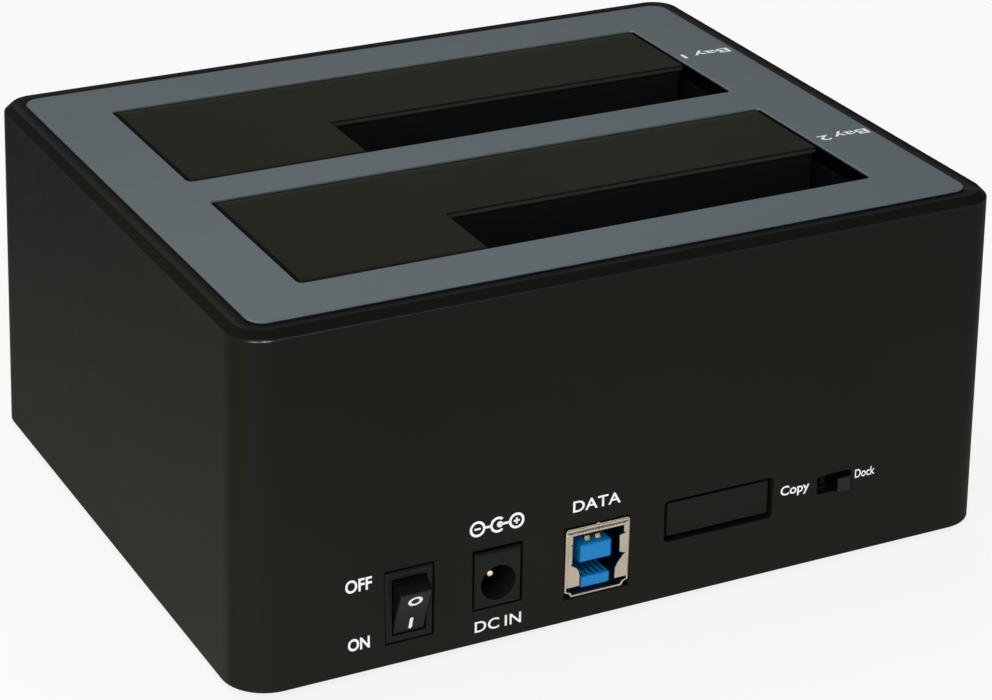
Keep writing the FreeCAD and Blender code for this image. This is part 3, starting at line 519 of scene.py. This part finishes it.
# The directions to the right of, up and out of each printed face, as its words are read
LEAN = math.radians(ROCKER_TILT)
REAR_FACE = (Vector((-1, 0, 0)), Vector((0, -DRAFT / CASE_H, 1)).normalized(), Vector((0, 1, 0)))
PLATE_FACE = (Vector((1, 0, 0)), Vector((0, 1, 0)), Vector((0, 0, 1)))
ROCKER_FACE = (Vector((-1, 0, 0)), Vector((0, math.sin(LEAN), math.cos(LEAN))),
               Vector((0, math.cos(LEAN), -math.sin(LEAN))))

# name, word, x0, x1, z0, z1, boldness, spacing
REAR_WORDS = (
    ("word_off", "OFF", 18.2, 22.8, 14.5, 16.8, 0.022, 1.0),
    ("word_on", "ON", 18.5, 22.3, 4.1, 6.3, 0.030, 1.0),
    ("word_dc", "DC IN", 40.9, 49.3, 2.0, 4.0, 0.013, 1.06),
    ("word_data", "DATA", 58.6, 67.4, 19.7, 21.7, 0.014, 1.04),
    ("word_copy", "Copy", 98.2, 103.9, 13.3, 15.6, 0.019, 1.0),
    ("word_dock", "Dock", 113.0, 117.0, 14.0, 15.6, 0.013, 1.0),
)
# name, word, x0, x1, y0, y1
PLATE_WORDS = (
    ("word_bay_1", "Bay 1", 124.2, 134.2, 80.4, 83.2),
    ("word_bay_2", "Bay 2", 124.6, 134.6, 34.1, 36.9),
)


@functools.cache
def surface_of(node):
    mesh = NODES[node].data
    return BVHTree.FromPolygons([v.co.copy() for v in mesh.vertices],
                                [p.vertices[:] for p in mesh.polygons])


def mark(name, mesh, node, body, origin, face):
    """A print: an outline, in mm to the right and up of its origin, pressed onto a node's surface."""
    right, up, out = face
    for v in mesh.vertices:
        place = origin + right * v.co.x * MM + up * v.co.y * MM
        hit = surface_of(node).ray_cast(place + out * RAY_START, -out)[0]
        v.co = (place if hit is None else hit) + out * PRINT_T
    obj = bpy.data.objects.new(name, mesh)
    bpy.context.scene.collection.objects.link(obj)
    obj.data.materials.clear()
    obj.data.materials.append(Finish.made["print_white"])
    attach(obj, body)


def fitted(values, extent):
    """Centres values round 0 and stretches them to an extent."""
    low, high = min(values), max(values)
    return [(value - (high + low) / 2) * (extent / (high - low)) for value in values]


def text_mesh(text, width, height, bold, spacing=1.0):
    """A word as a flat mesh, centred and fitted to a width and a height in mm."""
    curve = bpy.data.curves.new(text, "FONT")
    curve.body = text
    curve.size = 1.0
    curve.offset = bold
    curve.space_character = spacing
    curve.space_word = 0.6
    curve.resolution_u = 6
    obj = bpy.data.objects.new("draft", curve)
    bpy.context.scene.collection.objects.link(obj)
    bpy.context.view_layer.update()
    mesh = bpy.data.meshes.new_from_object(obj.evaluated_get(bpy.context.evaluated_depsgraph_get()))
    bpy.data.objects.remove(obj)
    xs = fitted([v.co.x for v in mesh.vertices], width)
    ys = fitted([v.co.y for v in mesh.vertices], height)
    for v, x, y in zip(mesh.vertices, xs, ys):
        v.co = Vector((x, y, 0))
    return mesh


def polygon_mesh(name, loops):
    bm = bmesh.new()
    for points in loops:
        bm.faces.new([bm.verts.new((x, y, 0)) for x, y in points])
    mesh = bpy.data.meshes.new(name)
    bm.to_mesh(mesh)
    bm.free()
    return mesh


def round_point(cx, r, degrees):
    angle = math.radians(degrees)
    return cx + r * math.cos(angle), r * math.sin(angle)


def disc_loop(cx, r, steps=20):
    return [round_point(cx, r, 360.0 * i / steps) for i in range(steps)]


def ring_loops(cx, r, stroke, start=0.0, end=360.0):
    """Quads along an arc round (cx, 0), from one angle in degrees to another."""
    steps = int(48 * (end - start) / 360.0)
    angles = [start + (end - start) * i / steps for i in range(steps + 1)]
    inner, outer = r - stroke / 2, r + stroke / 2
    return [[round_point(cx, inner, a), round_point(cx, outer, a),
             round_point(cx, outer, b), round_point(cx, inner, b)] for a, b in zip(angles, angles[1:])]


def bar_loop(x0, x1, height):
    return [(x0, -height / 2), (x1, -height / 2), (x1, height / 2), (x0, height / 2)]


def capsule_loop(half_width, half_height, steps=8):
    """An upright bar with round ends."""
    points = []
    for side in (1, -1):
        for i in range(steps + 1):
            x, y = round_point(0.0, half_width, 180.0 * i / steps)
            points.append((side * x, side * (half_height - half_width + y)))
    return points


def on_rear(x, z):
    """A point of the leaning rear panel."""
    return at(x, DRAFT * z / CASE_H, z)


def rear_words():
    for name, word, x0, x1, z0, z1, bold, spacing in REAR_WORDS:
        mesh = text_mesh(word, x1 - x0, z1 - z0, bold, spacing)
        origin = on_rear((x0 + x1) / 2, (z0 + z1) / 2)
        mark(name, mesh, "housing", "case", origin, REAR_FACE)


def plate_words():
    for name, word, x0, x1, y0, y1 in PLATE_WORDS:
        mesh = text_mesh(word, x1 - x0, y1 - y0, bold=0.012)
        origin = at((x0 + x1) / 2, (y0 + y1) / 2, CASE_H)
        mark(name, mesh, "top_plate", "case", origin, PLATE_FACE)


def polarity_sign():
    """The common sign for a plug with a positive centre: minus, an open ring round a dot, plus."""
    height, r, stroke = 20.7, 1.18, 0.44
    minus_x, dot_x, plus_x = -3.65, 0.35, 3.35
    arm, sign_stroke = 0.56, 0.34
    loops = ring_loops(minus_x, r, stroke) + ring_loops(plus_x, r, stroke)
    loops += ring_loops(0.0, r, stroke, 48.0, 312.0)
    loops += [
        disc_loop(dot_x, r=0.55),
        bar_loop(minus_x + r, -r, stroke),
        bar_loop(dot_x, plus_x - r, stroke),
        bar_loop(minus_x - arm, minus_x + arm, sign_stroke),
        bar_loop(plus_x - arm, plus_x + arm, sign_stroke),
        bar_loop(plus_x - sign_stroke / 2, plus_x + sign_stroke / 2, 2 * arm),
    ]
    mark("polarity_sign", polygon_mesh("polarity", loops), "housing", "case",
         on_rear(JACK_X, height), REAR_FACE)


def rocker_marks():
    """A circle for off above the rocker's axis, and a bar for on below it."""
    right, up, out = ROCKER_FACE
    face_out = 2.2
    flattened = 0.86
    circle = [[(x, y * flattened) for x, y in points] for points in ring_loops(0.0, r=0.98, stroke=0.56)]
    bar = [capsule_loop(half_width=0.31, half_height=1.2)]
    for name, loops, aside, height in (("rocker_off_mark", circle, 0.13, 2.45),
                                       ("rocker_on_mark", bar, 0.15, -2.65)):
        origin = at(*ROCKER_AXIS) + (right * aside + up * height + out * face_out) * MM
        mark(name, polygon_mesh(name, loops), "rocker", "rocker", origin, ROCKER_FACE)


rear_words()
polarity_sign()
plate_words()
rocker_marks()


# ---- studio -----------------------------------------------------------------------------
FLOOR_SIZE = 6.0
FLOOR_WHITE = 0.84      # how far the floor is white to the camera and in reflections
SKY_LIGHT = 0.25
MIDDLE = (0.0, 0.0, 0.03)

# name, place, what it is aimed at, width and height, all in metres, and watts
SOFTBOXES = (
    ("key", (0.35, -0.35, 1.15), MIDDLE, (1.0, 0.8), 4.5),
    ("front", (-0.15, -0.85, 0.95), MIDDLE, (1.0, 0.8), 4.0),
    ("side", (0.75, 0.50, 0.90), MIDDLE, (0.6, 0.2), 3.0),
    ("low", (0.36, 0.30, 0.10), (0.07, 0.03, 0.02), (0.25, 0.15), 0.45),
    ("back", (0.0, 1.1, 0.15), MIDDLE, (0.8, 0.25), 4.7),
    ("spark", (0.207, 0.602, 0.636), (0.06, 0.05, 0.06), (0.05, 0.05), 1.1),
)


def floor():
    """Pale paper that takes the object's shadow."""
    t = Finish("studio_floor")
    paper = t.ramp(t.noise(scale=40.0, detail=4.0), to=(0.0, 1.0))
    paper = t.mix(paper, (0.80, 0.80, 0.80), (0.83, 0.83, 0.83))
    ray = t.node("ShaderNodeLightPath").outputs
    seen = t.highest(ray["Is Camera Ray"], ray["Is Glossy Ray"], ray["Is Transmission Ray"])
    t.finish_mixed(t.times(seen, FLOOR_WHITE), t.node("ShaderNodeBsdfDiffuse", Color=paper),
                   t.node("ShaderNodeEmission", Color=WHITE, Strength=1.0))
    bpy.ops.mesh.primitive_plane_add(size=FLOOR_SIZE, location=(0, 0, 0))
    obj = bpy.context.object
    obj.name = "floor"
    obj.data.materials.append(t.mat)


def sky():
    """A dim, even light, which is white where the camera sees it past the floor."""
    world = bpy.data.worlds.new("studio")
    bpy.context.scene.world = world
    t = Nodes(world, "ShaderNodeOutputWorld")
    t.finish_mixed(t.node("ShaderNodeLightPath").outputs["Is Camera Ray"],
                   t.node("ShaderNodeBackground", Color=WHITE, Strength=SKY_LIGHT),
                   t.node("ShaderNodeBackground", Color=WHITE, Strength=1.0))


def softboxes():
    for name, place, target, size, watts in SOFTBOXES:
        light = bpy.data.lights.new(name, "AREA")
        light.shape = "RECTANGLE"
        light.size, light.size_y = size
        light.energy = watts
        obj = bpy.data.objects.new(name, light)
        obj.location = place
        obj.rotation_euler = (Vector(target) - Vector(place)).to_track_quat("-Z", "Y").to_euler()
        bpy.context.scene.collection.objects.link(obj)


def camera():
    """A view from behind and above, turned to show the left wall too."""
    data = bpy.data.cameras.new("camera")
    data.sensor_width = 36.0
    data.lens = 109.65
    data.clip_start = 0.01
    obj = bpy.data.objects.new("camera", data)
    obj.location = (0.222318, 0.430567, 0.252260)
    obj.rotation_euler = [math.radians(a) for a in (64.786388, -1.044070, 152.899087)]
    bpy.context.scene.collection.objects.link(obj)
    bpy.context.scene.camera = obj


floor()
sky()
softboxes()
camera()
bpy.context.scene.view_settings.view_transform = "Standard"
